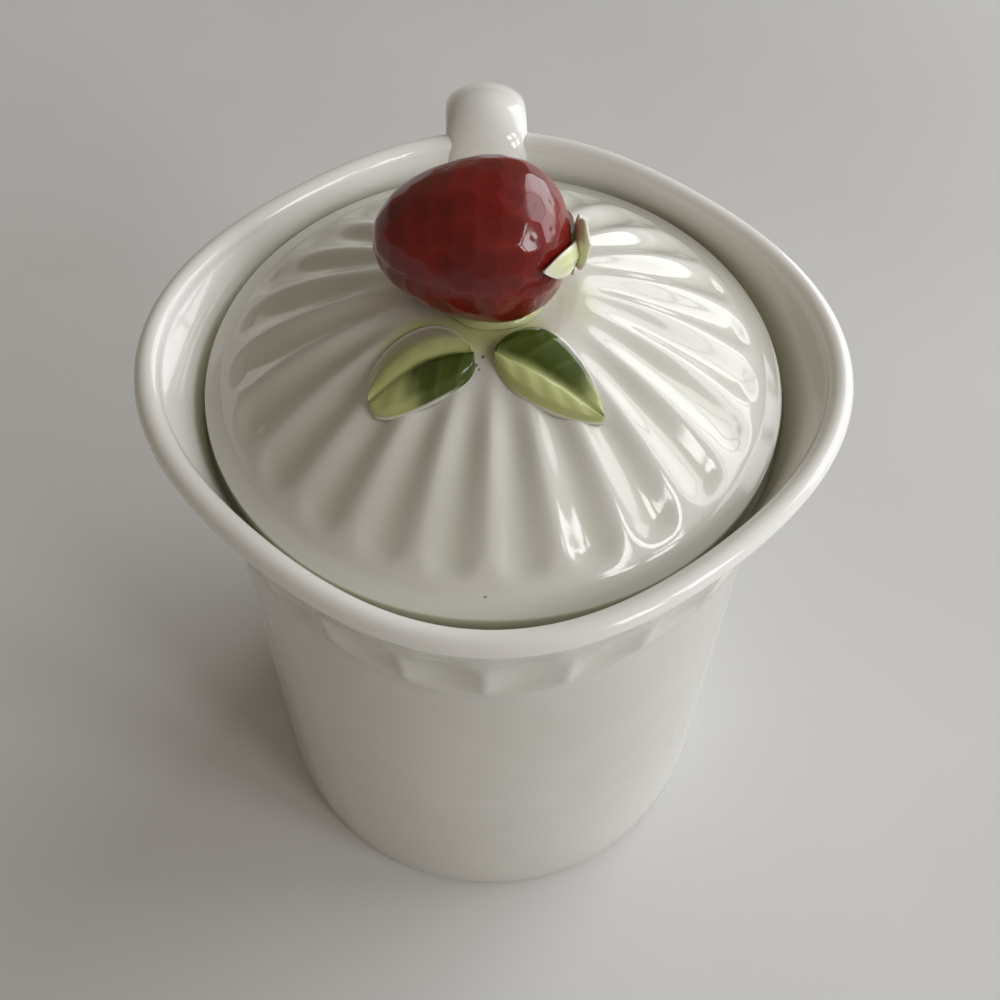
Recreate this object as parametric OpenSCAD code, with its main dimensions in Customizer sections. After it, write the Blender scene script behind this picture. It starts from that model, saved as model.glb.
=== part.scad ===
// Lidded jam pot in glazed earthenware. The cup is straight sided and opens
// into a fluted collar with a four lobed lip. The loose lid is a fluted dome
// that sits on a ledge inside the lip, and carries a strawberry knob with a
// green calyx and two leaves. A strap handle is luted over the lip and down to
// the wall. Z is up, the handle points towards +Y and the berry's tip to -X.
// All lengths are millimetres.

/* [Pot] */
// Diameter of the foot
body_d = 80; // [66:1:100]
// Loss of radius from the foot to the neck
taper = 2; // [0.5:0.5:5]
// Thickness of the cast wall
wall = 3.2; // [2.4:0.2:4.4]
// Thickness of the floor
floor_t = 5; // [3:0.5:9]
// Height of the ledge that the lid rests on
seat_h = 94; // [84:1:120]
// Width of the ledge
seat_w = 3.8; // [3:0.2:5]
// Radius of the worn edge round the foot
foot_round = 1.2; // [0.6:0.2:2.4]
// Radius of the hollow where the floor meets the wall inside
floor_round = 6; // [3:0.5:10]

/* [Lip and collar] */
// Height of the lip above the ledge
lip_rise = 8; // [6:0.5:12]
// Mean reach of the lip outside the ledge
lip_reach = 5.2; // [4.4:0.2:8]
// Thickness of the rolled lip
lip_t = 3.3; // [2.6:0.1:4]
// Extra reach of the two side lobes
side_swell = 1.3; // [0:0.1:2.4]
// Rise and fall of the reach over the four lobes
lobe_swell = 1.3; // [0:0.1:2]
// Height from the collar's lower edge up to the ledge
collar_drop = 12; // [9:0.5:18]
// Rise and fall of the collar's lower edge
swag = 2.4; // [0:0.2:4]
// How far the collar's lower edge stands out from the wall
collar_step = 0.5; // [0.3:0.1:1]
// Depth of the collar's flutes
collar_flute = 0.7; // [0.2:0.1:1]

/* [Lid] */
// Play between the lid's edge and the pot
lid_play = 0.5; // [0.3:0.1:1]
// Height of the lid's edge
edge_t = 3; // [2.4:0.2:4]
// Width of the plain border round the dome
border_w = 2.6; // [1.6:0.2:4]
// Height of the dome above the crease
dome_h = 15; // [10:0.5:22]
// Thickness of the lid
lid_wall = 3.2; // [2.6:0.2:4]
// Depth of the lid's flutes
lid_flute = 1.1; // [0.4:0.1:1.4]
// Depth of the locating flange below the ledge
flange_h = 6; // [3:0.5:10]
// Thickness of the locating flange
flange_t = 2.6; // [2:0.2:3.6]
// Play between the flange and the mouth
flange_play = 0.6; // [0.4:0.1:1.2]

/* [Knob] */
// Length of the strawberry
berry_l = 23; // [18:0.5:30]
// Thickness of the strawberry
berry_d = 19.4; // [16:0.2:24]
// Depth of the dimples on the strawberry
dimple = 0.45; // [0.1:0.05:0.7]
// Shift of the strawberry's middle towards its tip
berry_shift = 2.7; // [0:0.1:5]
// Height of the pad that carries the strawberry
pad_h = 1.7; // [1.2:0.1:3]
// Depth to which the strawberry is bedded in the pad
berry_bed = 4; // [2.5:0.5:5.5]
// Reach of a sepal over the berry's shoulder
sepal_l = 4.2; // [3:0.2:7]
// Thickness of a sepal at its root
sepal_t = 0.9; // [0.6:0.1:1.4]
// Lift of a sepal's tip off the berry
sepal_lift = 1; // [0:0.1:1.6]

/* [Leaves] */
// Length of the right leaf
leaf_l = 14.4; // [10:0.2:16]
// Width of a leaf
leaf_w = 9.2; // [6:0.2:10]
// Thickness of a leaf
leaf_t = 1.6; // [1:0.1:2.4]
// How much shorter the left leaf is
leaf_less = 1.4; // [0:0.2:3]

/* [Handle] */
// Width of the strap
strap_w = 12.2; // [9:0.2:15]
// Thickness of the strap
strap_t = 6.4; // [4.4:0.2:7]
// Reach of the strap's middle outside the wall
handle_reach = 26; // [20:0.5:32]
// Height of the foot of the handle
handle_foot = 43; // [34:1:48]
// Height by which the crown of the handle is drawn up above the lip
handle_crown = 2.6; // [1.2:0.2:4]
// Height of the strap's end inside the lip, above the ledge
handle_root = 3; // [2:0.5:5]
// Angle by which the handle is set off the pot's axis
handle_turn = 3; // [0:0.5:8]

/* [Hidden] */
glaze = "#efece4";
berry_red = "#9c1a1c";
sepal_green = "#cbd48c";
leaf_green = "#5d7d2e";
// One full turn, and the number of flutes round the lid and the collar
turn = 360;
flutes = 24;
// Steps of a flute on the lid and on the collar, and of a smooth revolve
lid_steps = 6;
collar_steps = 4;
round_fn = 144;
// Rise of the lid's border, as a share of its width
border_rise_share = 0.55;
// Roundness of the strap's section: 1 is an ellipse, 0 a plain rectangle
strap_corner = 0.9;
// Slip between luted pieces, gap of glaze under the lid, depth to which fused
// forms run into each other, and the step left where they meet in the mouth
lute = 0.12;
lid_gap = 0.2;
sunk = 1;
hair = 0.05;

foot_r = body_d / 2;
neck_r = foot_r - taper;
mouth_r = neck_r - wall;
seat_r = mouth_r + seat_w;
lip_h = seat_h + lip_rise;
lip_r = seat_r + lip_reach;
collar_h = seat_h - collar_drop;
collar_root = collar_h - swag - collar_drop / 2;
body_h = seat_h - lip_t;
lip_mid = lip_h - lip_t / 2;
lid_r = seat_r - lid_play;
edge_z = seat_h + lid_gap;
crease_r = lid_r - border_w;
border_rise = border_w * border_rise_share;
crease_z = edge_z + edge_t + border_rise;
flange_r = mouth_r - flange_play;
land_r = berry_d / 2 + 2 * lute;

function wall_r(z) = foot_r - taper * z / seat_h;
// Reach of the lip's outside at an angle round the pot
function lip_out(a) = lip_r + side_swell * cos(2 * a) + lobe_swell * cos(4 * a);
// Height of the collar's lower edge, lowest under each lobe
function swag_z(a) = collar_h - swag * cos(4 * a);
// Hollow of a flute, 0 on a crest and 1 halfway to the next
function hollow(a) = (1 - cos(a * flutes)) / 2;
// Smooth rise from 0 to 1 while x runs from lo to hi
function ease(x, lo, hi) =
    let (u = min(max((x - lo) / (hi - lo), 0), 1))
    u * u * (3 - 2 * u);
function dome_z(r) = crease_z + dome_h * (1 - pow(min(r / crease_r, 1), 2));

// Faces between rows of n points, each row closed on itself; with loop the last
// row also joins the first
function band_faces(rows, n, loop) = [
    for (j = [0 : rows - (loop ? 1 : 2)]) for (i = [0 : n - 1]) for (t = [0 : 1])
        let (k = (i + 1) % n, q = (j + 1) % rows)
        t == 0 ? [j * n + i, q * n + i, q * n + k]
               : [j * n + i, q * n + k, j * n + k]
];
// A fan that closes the row that starts at a point, turned over with flip
function cap_faces(first, n, centre, flip) = [
    for (i = [0 : n - 1])
        let (k = (i + 1) % n)
        flip ? [centre, first + k, first + i] : [centre, first + i, first + k]
];

// Rows and curvature of the collar's flare, the lip and the inner slope
flare_rows = 7;
lip_rows = 6;
inner_rows = 4;
flare_power = 1.7;
inner_power = 1.6;
// Where the collar's flutes start and fade, as shares of its height
flute_foot_share = 0.12;
flute_head_share = 0.6;
// Outside of the collar, over the lip and down to the ledge, as [radius, height];
// grow moves it outwards and dip is the depth of the flutes there
function lip_section(a, grow, dip) =
    let (
        out = lip_out(a),
        low = swag_z(a),
        start = wall_r(low) + collar_step
    )
    concat(
        [for (i = [0 : flare_rows])
            let (t = i / flare_rows)
            [start + (out - start) * pow(t, flare_power) + grow
                - dip * ease(t, 0, flute_foot_share) * (1 - ease(t, flute_head_share, 1)),
             low + (lip_mid - low) * t]],
        [for (i = [1 : lip_rows])
            let (b = 180 * i / lip_rows, r = lip_t / 2 + grow)
            [out - lip_t / 2 + r * cos(b), lip_mid + r * sin(b)]],
        [for (i = [1 : inner_rows])
            let (t = i / inner_rows, wide = out - lip_t - seat_r)
            [seat_r + wide * pow(1 - t, inner_power) - grow, lip_mid - (lip_mid - seat_h) * t]]
    );
function collar_section(a) = concat(
    [[mouth_r + sunk, collar_root]],
    [[neck_r - sunk, collar_root]],
    [[neck_r - sunk, swag_z(a) - collar_step]],
    lip_section(a, 0, collar_flute * hollow(a)),
    [[mouth_r + hair, seat_h]],
    [[mouth_r + hair, body_h - sunk]],
    [[mouth_r + sunk, body_h - 2 * sunk]]
);

module collar() {
    n = flutes * collar_steps;
    sections = [for (i = [0 : n - 1]) collar_section(turn * i / n)];
    rows = len(sections[0]);
    points = [
        for (j = [0 : rows - 1]) for (i = [0 : n - 1])
            let (a = turn * i / n, p = sections[i][j])
            [p[0] * cos(a), p[0] * sin(a), p[1]]
    ];
    polyhedron(points, band_faces(rows, n, true), 8);
}

module pot_body() {
    fillet_steps = 8;
    color(glaze) union() {
        rotate_extrude($fn = round_fn) polygon(concat(
            [[0, 0]],
            [for (i = [0 : fillet_steps])
                let (b = 90 * i / fillet_steps)
                [foot_r - foot_round + foot_round * sin(b), foot_round - foot_round * cos(b)]],
            [[wall_r(body_h), body_h]],
            [[mouth_r, body_h]],
            [for (i = [0 : fillet_steps])
                let (b = 90 * i / fillet_steps)
                [mouth_r - floor_round + floor_round * cos(b), floor_t + floor_round - floor_round * sin(b)]],
            [[0, floor_t]]
        ));
        collar();
    }
}

// Strap handle: an oval section swept along two curves in the plane through the
// axis, from the slope inside the lip over its crown, out and down to the wall
function bezier(p, t) =
    pow(1 - t, 3) * p[0] + 3 * t * pow(1 - t, 2) * p[1] + 3 * t * t * (1 - t) * p[2] + pow(t, 3) * p[3];
strap_out = neck_r + handle_reach;
strap_belly = (lip_h + handle_foot) / 2 + strap_t;
strap_curves = [
    [
        [seat_r + sunk, seat_h + handle_root],
        [lip_r, lip_h + strap_t + handle_crown],
        [strap_out, lip_h - strap_t * 1.25],
        [strap_out, strap_belly]
    ],
    [
        [strap_out, strap_belly],
        [strap_out, strap_belly - strap_t * 3.5],
        [neck_r + handle_reach / 2, handle_foot + strap_t],
        [wall_r(handle_foot) - sunk, handle_foot]
    ]
];
strap_steps = 13;
function strap_at(i) =
    i <= strap_steps ? bezier(strap_curves[0], i / strap_steps)
                     : bezier(strap_curves[1], i / strap_steps - 1);
// Thickness along the strap, as a share of strap_t: it thins out where it is
// smeared down inside the lip and is thickest where it is pressed on to the wall
strap_end_share = 0.45;
// Angle round the pot from the middle of a lobe to the strap's far edge
strap_edge_angle = handle_turn + asin(strap_w / 2 / seat_r);
function strap_swell(u) =
    strap_end_share + (1 - strap_end_share) * ease(u, 0, 0.12) + 0.35 * ease(u, 0.86, 1);

module handle() {
    side_steps = 16;
    last = 2 * strap_steps;
    points = [
        for (i = [0 : last])
            let (
                here = strap_at(i),
                ahead = strap_at(min(i + 1, last)) - strap_at(max(i - 1, 0)),
                way = ahead / norm(ahead),
                thick = strap_t / 2 * strap_swell(i / last),
                wide = strap_w / 2 * (1 + 0.08 * ease(i / last, 0.86, 1))
            )
            for (j = [0 : side_steps - 1])
                let (
                    b = turn * (j + 0.5) / side_steps,
                    x = wide * sign(cos(b)) * pow(abs(cos(b)), strap_corner),
                    y = thick * sign(sin(b)) * pow(abs(sin(b)), strap_corner)
                )
                [x, here[0] - y * way[1], here[1] + y * way[0]]
    ];
    faces = concat(
        band_faces(last + 1, side_steps, false),
        [[for (j = [side_steps - 1 : -1 : 0]) last * side_steps + j]],
        [[for (j = [0 : side_steps - 1]) j]]
    );
    color(glaze) rotate([0, 0, handle_turn]) difference() {
        polyhedron(points, faces, 8);
        for (a = [0, strap_edge_angle]) rotate_extrude($fn = round_fn) polygon(concat(
            [[0, 0]],
            [[foot_r + lute, 0]],
            [[wall_r(collar_h - swag) + lute, collar_h - swag]],
            lip_section(90 + a, lute, 0),
            [[seat_r - lute, lip_h + 2 * strap_t]],
            [[0, lip_h + 2 * strap_t]]
        ));
    }
}

// Lid: the dome's fluted skin, the border and the edge as rows of points, with
// the inside hollowed and the locating flange turned below
dome_rows = 10;
edge_round = edge_t * 0.3;
border_steps = 4;
border_angle = 52;
// Point of the convex border, from the edge at b = 0 to the crease
function border_at(b) = [
    crease_r + border_w * (cos(b) - cos(border_angle)) / (1 - cos(border_angle)),
    edge_z + edge_round + (crease_z - edge_z - edge_round) * sin(b) / sin(border_angle)
];
function lid_rows() = concat(
    [[lid_r - edge_round, edge_z, 0]],
    [for (i = [0 : border_steps - 1])
        let (p = border_at(border_angle * i / border_steps))
        [p[0], p[1], 0]],
    [for (i = [dome_rows : -1 : 0])
        let (
            r = land_r + (crease_r - land_r) * i / dome_rows,
            lead = (crease_r - land_r) * flute_lead_share,
            end = crease_r - border_w,
            depth = lid_flute * ease(r, land_r, land_r + lead) * (1 - ease(r, end - border_w, end + edge_round))
        )
        [r, dome_z(r), depth]]
);
// Share of the dome over which the flutes deepen from the knob outwards
flute_lead_share = 0.4;
// Underside of the dome, thicker towards the edge
function inside_z(r) =
    dome_z(max(r, land_r)) - lid_wall * (1 + 0.35 * pow(r / crease_r, 2));

module lid_skin() {
    n = flutes * lid_steps;
    rows = lid_rows();
    count = len(rows);
    points = concat(
        [for (row = rows) for (i = [0 : n - 1])
            let (a = turn * i / n)
            [row[0] * cos(a), row[0] * sin(a), row[1] - row[2] * hollow(a)]],
        [[0, 0, edge_z]],
        [[0, 0, dome_z(land_r)]]
    );
    faces = concat(
        band_faces(count, n, false),
        cap_faces(0, n, count * n, false),
        cap_faces((count - 1) * n, n, count * n + 1, true)
    );
    polyhedron(points, faces, 8);
}

module lid() {
    inside_rows = 10;
    inner_r = flange_r - flange_t;
    bevel = flange_t / 4;
    low = seat_h - flange_h;
    color(glaze) difference() {
        union() {
            lid_skin();
            rotate_extrude($fn = round_fn) polygon([
                [0, low],
                [flange_r - bevel, low],
                [flange_r, low + bevel],
                [flange_r, edge_z + sunk],
                [0, edge_z + sunk]
            ]);
        }
        rotate_extrude($fn = round_fn) polygon(concat(
            [[0, low - sunk]],
            [[inner_r + sunk + bevel, low - sunk]],
            [[inner_r, low + bevel]],
            [for (i = [inside_rows : -1 : 0])
                let (r = inner_r * i / inside_rows)
                [r, inside_z(r)]]
        ));
    }
}

// Pad of slip on the crown of the lid, and the berry bedded on it
pad_share = 0.7;
pad_z = dome_z(land_r) + lute;
pad_top = pad_z + pad_h;
pad_r = land_r * pad_share;
berry_z = pad_top + lute + berry_d / 2 - berry_bed;
module knob_pad() {
    rim_steps = 6;
    top_r = pad_r - pad_h / 2;
    color(sepal_green) rotate_extrude($fn = round_fn / 2) polygon(concat(
        [[0, pad_z]],
        [for (i = [0 : rim_steps])
            let (b = 90 * i / rim_steps)
            [top_r + (pad_r - top_r) * cos(b), pad_z + pad_h * sin(b)]],
        [[0, pad_top]]
    ));
}

// Outline of the berry, u running from 0 at the tip to 1 at the calyx
belly_share = 0.614;
tip_power = 0.3;
shoulder_power = 0.42;
function berry_x(u) = berry_l * (u - 0.5) - berry_shift;
function berry_r(u) =
    let (w = pow(u, ln(0.5) / ln(belly_share)))
    berry_d / 2 * pow(sin(180 * w), u < belly_share ? tip_power : shoulder_power);
berry_rows = 24;
dimple_rows = 8;
dimple_cols = 12;
dimple_steps = 5;
function berry_u(j) = (1 - cos(180 * j / berry_rows)) / 2;
// Round dimples on a net of triangles, which fade at both ends of the berry
function dimple_at(u, a) =
    let (
        row = 180 * dimple_rows * u,
        net = (cos(2 * row) + 2 * cos(row) * cos(dimple_cols * a) + 1.5) / 4.5,
        fade = ease(u, 0, 0.12) * (1 - ease(u, 0.86, 1))
    )
    dimple * fade * net * net;

// Everything under the pad's top, which the berry and its calyx are cut to
module below_bed() {
    side = 2 * (berry_l + sepal_l);
    translate([-side / 2, -side / 2, pad_top + lute - side]) cube(side);
}

module strawberry() {
    n = dimple_cols * dimple_steps;
    points = concat(
        [for (j = [1 : berry_rows - 1]) for (i = [0 : n - 1])
            let (
                a = turn * (i - j / 2) / n,
                u = berry_u(j),
                r = berry_r(u) - dimple_at(u, a)
            )
            [berry_x(u), r * cos(a), berry_z + r * sin(a)]],
        [[berry_x(0), 0, berry_z]],
        [[berry_x(1), 0, berry_z]]
    );
    rows = berry_rows - 1;
    faces = concat(
        band_faces(rows, n, false),
        cap_faces(0, n, rows * n, false),
        cap_faces((rows - 1) * n, n, rows * n + 1, true)
    );
    color(berry_red) difference() {
        polyhedron(points, faces, 8);
        below_bed();
    }
}

// The calyx half of the berry without its dimples, grown by a gap
module berry_shoulder(grow) {
    middle = berry_rows / 2;
    translate([0, 0, berry_z]) rotate([0, 90, 0]) rotate_extrude($fn = round_fn / 2) polygon(concat(
        [[0, berry_x(berry_u(middle))]],
        [for (j = [middle : berry_rows - 1])
            let (u = berry_u(j), way = berry_way(u))
            [berry_r(u) + way[1] * grow, berry_x(u) + way[0] * grow]],
        [[0, berry_x(1) + grow]]
    ));
}

// Calyx: a five pointed cap that follows the berry's shoulder, with a stalk
sepals = 5;
// Share of a sepal's length over which the sepals are webbed together
sepal_web_share = 0.24;
sepal_steps = 8;
sepal_rows = 4;
sepal_angle = 19;
function berry_way(u) =
    let (d = [berry_x(u + 0.01) - berry_x(u - 0.01), berry_r(min(u + 0.01, 1)) - berry_r(u - 0.01)])
    [-d[1], d[0]] / norm(d);
function sepal_reach(a) =
    let (w = a * sepals / turn, f = abs(w - floor(w) - 0.5) * 2)
    sepal_l / berry_l * (sepal_web_share + (1 - sepal_web_share) * pow(f, 1.5));
module calyx() {
    n = sepals * sepal_steps;
    skins = [for (side = [0, 1]) for (j = [1 : sepal_rows])
        let (q = side == 0 ? j : sepal_rows + 1 - j)
        [q / sepal_rows, side == 0 ? -sunk : lute + sepal_t * (1 - 0.5 * q / sepal_rows)]];
    rows = len(skins);
    points = concat(
        [for (skin = skins) for (i = [0 : n - 1])
            let (
                a = turn * i / n,
                u = 1 - skin[0] * sepal_reach(a),
                way = berry_way(u),
                off = skin[1] + sepal_lift * pow(skin[0] * sepal_reach(a) * berry_l / sepal_l, 2),
                x = berry_x(u) + way[0] * off,
                r = berry_r(u) + way[1] * off
            )
            [x, r * cos(a + sepal_angle), berry_z + r * sin(a + sepal_angle)]],
        [[berry_x(1) - sunk, 0, berry_z]],
        [[berry_x(1) + lute + sepal_t, 0, berry_z]]
    );
    faces = concat(
        band_faces(rows, n, false),
        cap_faces(0, n, rows * n, false),
        cap_faces((rows - 1) * n, n, rows * n + 1, true)
    );
    color(sepal_green) difference() {
        union() {
            polyhedron(points, faces, 8);
            translate([berry_x(1) + lute + sepal_t / 2, 0, berry_z])
                rotate([0, 90, 0]) cylinder(h = 2.5 * sepal_t, r = sepal_t * 1.3, $fn = 24);
        }
        berry_shoulder(lute);
        below_bed();
    }
}

// Leaves: pointed blades that lie on the dome, with a sunk midrib
blade_rows = 10;
blade_cols = 6;
rib_shares = [0.55, 0.95, 1, 0.72, 1, 0.95, 0.55];
leaf_root_angle = -95.2;
leaf_root_half_angle = 6.2;
leaf_way_angle = -92.4;
leaf_way_half_angle = 67.6;
leaf_root_share = 1.1;
// Share of a leaf's width that lies before its midrib, away from the knob
leaf_front_share = 0.32;
// Width of a blade along its length, 1 at its widest, set by how fast it opens at
// the root and closes at the tip
blade_root = 0.35;
blade_tip = 0.75;
function blade_form(s) = pow(s, blade_root) * pow(1 - s, blade_tip);
function blade_width(s) = leaf_w * blade_form(s) / blade_form(blade_root / (blade_root + blade_tip));
module leaf(side) {
    reach = side > 0 ? leaf_l : leaf_l - leaf_less;
    root_a = leaf_root_angle + side * leaf_root_half_angle;
    way_a = leaf_way_angle + side * leaf_way_half_angle;
    root = land_r * leaf_root_share * [cos(root_a), sin(root_a)];
    way = [cos(way_a), sin(way_a)];
    across = [-way[1], way[0]];
    points = [
        for (i = [0 : blade_rows]) for (layer = [0, 1]) for (k = [0 : blade_cols])
            let (
                s = 0.015 + 0.97 * i / blade_rows,
                j = layer == 0 ? k : blade_cols - k,
                t = 2 * j / blade_cols - 1,
                half_share = t * side > 0 ? 1 - leaf_front_share : leaf_front_share,
                p = root + way * reach * s + across * blade_width(s) * half_share * t,
                thick = leaf_t * rib_shares[j] * (0.8 + 0.2 * sin(180 * s))
            )
            [p[0], p[1], dome_z(max(norm(p), land_r)) + 2 * lute + (layer == 0 ? 0 : thick)]
    ];
    n = 2 * (blade_cols + 1);
    last = blade_rows * n;
    faces = concat(
        band_faces(blade_rows + 1, n, false),
        [for (k = [0 : blade_cols - 1]) each [[k, k + 1, n - 2 - k], [k, n - 2 - k, n - 1 - k]]],
        [for (k = [0 : blade_cols - 1]) each [
            [last + k, last + n - 2 - k, last + k + 1],
            [last + k, last + n - 1 - k, last + n - 2 - k]
        ]]
    );
    color(leaf_green) polyhedron(points, faces, 8);
}
module leaf_left() { leaf(-1); }
module leaf_right() { leaf(1); }

pot_body();
handle();
lid();
knob_pad();
strawberry();
calyx();
leaf_left();
leaf_right();
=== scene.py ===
# Glazed jam pot with a loose fluted lid, a strap handle and a strawberry knob.
# Sizes are metres, written in millimetres times MM, in the frame of the solid model:
# Z is up, the handle points towards +Y and the tip of the berry towards -X.
import math
import random

import bmesh
import bpy
from mathutils import Matrix, Vector


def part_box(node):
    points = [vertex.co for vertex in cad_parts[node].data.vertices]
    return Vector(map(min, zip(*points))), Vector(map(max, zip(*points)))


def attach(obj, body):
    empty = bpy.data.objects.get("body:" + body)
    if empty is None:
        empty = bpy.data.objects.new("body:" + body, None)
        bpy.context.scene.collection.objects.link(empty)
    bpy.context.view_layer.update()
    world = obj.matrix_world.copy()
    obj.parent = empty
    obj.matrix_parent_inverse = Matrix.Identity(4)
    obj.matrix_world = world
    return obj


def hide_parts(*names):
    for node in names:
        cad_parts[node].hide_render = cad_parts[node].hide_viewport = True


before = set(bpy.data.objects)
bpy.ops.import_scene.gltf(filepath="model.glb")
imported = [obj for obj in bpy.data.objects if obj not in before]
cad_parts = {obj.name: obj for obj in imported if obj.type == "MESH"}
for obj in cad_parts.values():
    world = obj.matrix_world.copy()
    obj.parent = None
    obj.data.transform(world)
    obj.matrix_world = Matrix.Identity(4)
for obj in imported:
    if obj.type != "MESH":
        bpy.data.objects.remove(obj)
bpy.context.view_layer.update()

MM = 0.001
TURN = 2 * math.pi
FLUTES = 24

# Cup
FOOT_R = 40 * MM
TAPER = 2 * MM
WALL = 3.2 * MM
FLOOR_T = 5 * MM
SEAT_H = 94 * MM
SEAT_W = 3.8 * MM
FOOT_ROUND = 1.2 * MM
FLOOR_ROUND = 6 * MM
LEDGE_ROUND = 0.5 * MM
LEDGE_POOL = 0.35 * MM
NECK_R = FOOT_R - TAPER
MOUTH_R = NECK_R - WALL
SEAT_R = MOUTH_R + SEAT_W

# Collar and lip
LIP_H = SEAT_H + 8 * MM
LIP_R = SEAT_R + 5.2 * MM
LIP_T = 3.3 * MM
LIP_MID = LIP_H - LIP_T / 2
SIDE_SWELL = 1.3 * MM
LOBE_SWELL = 1.3 * MM
COLLAR_H = SEAT_H - 12 * MM
SWAG = 2.4 * MM
COLLAR_STEP = 0.7 * MM
COLLAR_FLUTE = 0.75 * MM
COLLAR_RIB = 0.3 * MM
COLLAR_EDGE = 0.8 * MM
# Painted shade down the inside of the lip starts this far below its middle
SHADE_BELOW = 1.5 * MM
# Band up the lip that is whitened, for thin glaze and for painted light where the lip catches the
# light
THIN_LIT_BELOW = 4.5 * MM
THIN_LIT_ABOVE = 0.3 * MM

# Lid
LID_R = SEAT_R - 0.8 * MM
EDGE_Z = SEAT_H + 0.2 * MM
EDGE_T = 3.6 * MM
EDGE_ROUND = 0.3 * MM
CREASE_R = LID_R - 2.3 * MM
CREASE_Z = EDGE_Z + EDGE_T + 0.83 * MM
DOME_H = 15 * MM
LID_WALL = 3.2 * MM
LID_FLUTE = 0.85 * MM
FLUTE_START = 0.5 * MM
FLUTE_END = 0.8 * MM
FLUTE_LOW = 0.4 * MM
SPOON_L = 2.8 * MM
SPOON_WEB = 1.4 * MM
BORDER_IN = 1 * MM
BORDER_OUT = 0.5 * MM
RIM_W = 0.2 * MM
FLANGE_R = MOUTH_R - 0.6 * MM
FLANGE_T = 2.6 * MM
FLANGE_H = 6 * MM
FLANGE_ROUND = 0.6 * MM

# Knob
BERRY_L = 23 * MM
BERRY_D = 19.4 * MM
BERRY_SHIFT = 2.7 * MM
BERRY_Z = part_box("strawberry")[1][2] - BERRY_D / 2
BED_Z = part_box("knob_pad")[1][2] + 0.1 * MM
BELLY = 0.614
TIP_POWER = 0.3
SHOULDER_POWER = 0.42
LAND_R = BERRY_D / 2 + 0.24 * MM


def ease(x, lo, hi):
    """Smooth rise from 0 to 1 while x runs from lo to hi."""
    u = min(max((x - lo) / (hi - lo), 0), 1)
    return u * u * (3 - 2 * u)


def between(a, b, t):
    """The value at a share t of the way from a to b."""
    return a + (b - a) * t


def scallop(angle):
    """Hollow of a flute: 0 on a crest and 1 halfway to the next."""
    return (1 - math.cos(angle * FLUTES)) / 2


def arc(cx, cz, rx, rz, start, end, steps):
    """Points [r, z] of an elliptical arc in a section, angles in degrees."""
    points = []
    for i in range(steps + 1):
        b = math.radians(between(start, end, i / steps))
        points.append((cx + rx * math.cos(b), cz + rz * math.sin(b)))
    return points


def line(start, end, steps):
    """Points along a straight stretch of a section, without its first point."""
    return [
        (between(start[0], end[0], i / steps), between(start[1], end[1], i / steps))
        for i in range(1, steps + 1)
    ]


def ring_faces(bands, columns):
    """Faces between rings of points that follow one another, each ring closed."""
    faces = []
    for j in range(bands):
        here = j * columns
        ahead = here + columns
        for i in range(columns):
            k = (i + 1) % columns
            faces.append((here + i, here + k, ahead + k, ahead + i))
    return faces


def plate_faces(rows, count):
    """Faces of a plate of little thickness: its upper points, rows + 1 by count, then as many lower
    ones, with the edge closed."""
    size = (rows + 1) * count
    faces = []
    for j in range(rows):
        for i in range(count - 1):
            a = j * count + i
            faces.append((a, a + 1, a + 1 + count, a + count))
            faces.append((size + a, size + a + count, size + a + 1 + count, size + a + 1))
    ring = [j * count for j in range(rows + 1)]
    ring += [rows * count + i for i in range(1, count)]
    ring += [j * count + count - 1 for j in range(rows - 1, -1, -1)]
    ring += [i for i in range(count - 2, 0, -1)]
    for a, b in zip(ring, ring[1:] + ring[:1]):
        faces.append((a, b, size + b, size + a))
    return faces


def mesh_object(name, points, faces):
    """A smooth mesh at the origin, with its faces turned outwards."""
    mesh = bpy.data.meshes.new(name)
    mesh.from_pydata(points, [], faces)
    mesh.validate()
    obj = bpy.data.objects.new(name, mesh)
    bpy.context.scene.collection.objects.link(obj)
    work = bmesh.new()
    work.from_mesh(mesh)
    bmesh.ops.recalc_face_normals(work, faces=work.faces)
    work.to_mesh(mesh)
    work.free()
    for polygon in mesh.polygons:
        polygon.use_smooth = True
    return obj


def point_values(obj, name, values):
    """Stores one number for each point of a mesh, for its material."""
    layer = obj.data.attributes.new(name, "FLOAT", "POINT")
    layer.data.foreach_set("value", values)


def turned_skin(name, section, columns):
    """A closed skin of revolution: section(angle) gives rows of (r, z, value), the
    first and last on the axis. The value is kept as the attribute that greens the glaze, both for
    pooled glaze and for painted shade."""
    sections = [section(TURN * i / columns) for i in range(columns)]
    rows = len(sections[0])
    points = []
    pool_and_shade = []
    for j in range(1, rows - 1):
        for i in range(columns):
            angle = TURN * i / columns
            r, z, value = sections[i][j]
            points.append((r * math.cos(angle), r * math.sin(angle), z))
            pool_and_shade.append(value)
    faces = ring_faces(rows - 3, columns)
    for end, first in ((0, 0), (rows - 1, (rows - 3) * columns)):
        centre = len(points)
        points.append((0, 0, sections[0][end][1]))
        pool_and_shade.append(sections[0][end][2])
        for i in range(columns):
            faces.append((centre, first + i, first + (i + 1) % columns))
    obj = mesh_object(name, points, faces)
    point_values(obj, "pool_and_shade", pool_and_shade)
    return obj


# Node trees


def math_node(tree, operation, a, b=None, c=None):
    """The result of one operation on numbers or the outputs of other nodes."""
    node = tree.nodes.new("ShaderNodeMath")
    node.operation = operation
    for socket, value in zip(node.inputs, (a, b, c)):
        if value is None:
            continue
        if isinstance(value, bpy.types.NodeSocket):
            tree.links.new(value, socket)
        else:
            socket.default_value = value
    return node.outputs[0]


def smooth_range(tree, value, lo, hi):
    """A node that rises smoothly from 0 to 1 while value runs from lo to hi."""
    node = tree.nodes.new("ShaderNodeMapRange")
    node.interpolation_type = "SMOOTHSTEP"
    for name, item in (("Value", value), ("From Min", lo), ("From Max", hi)):
        if isinstance(item, bpy.types.NodeSocket):
            tree.links.new(item, node.inputs[name])
        else:
            node.inputs[name].default_value = item
    return node.outputs["Result"]


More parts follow.
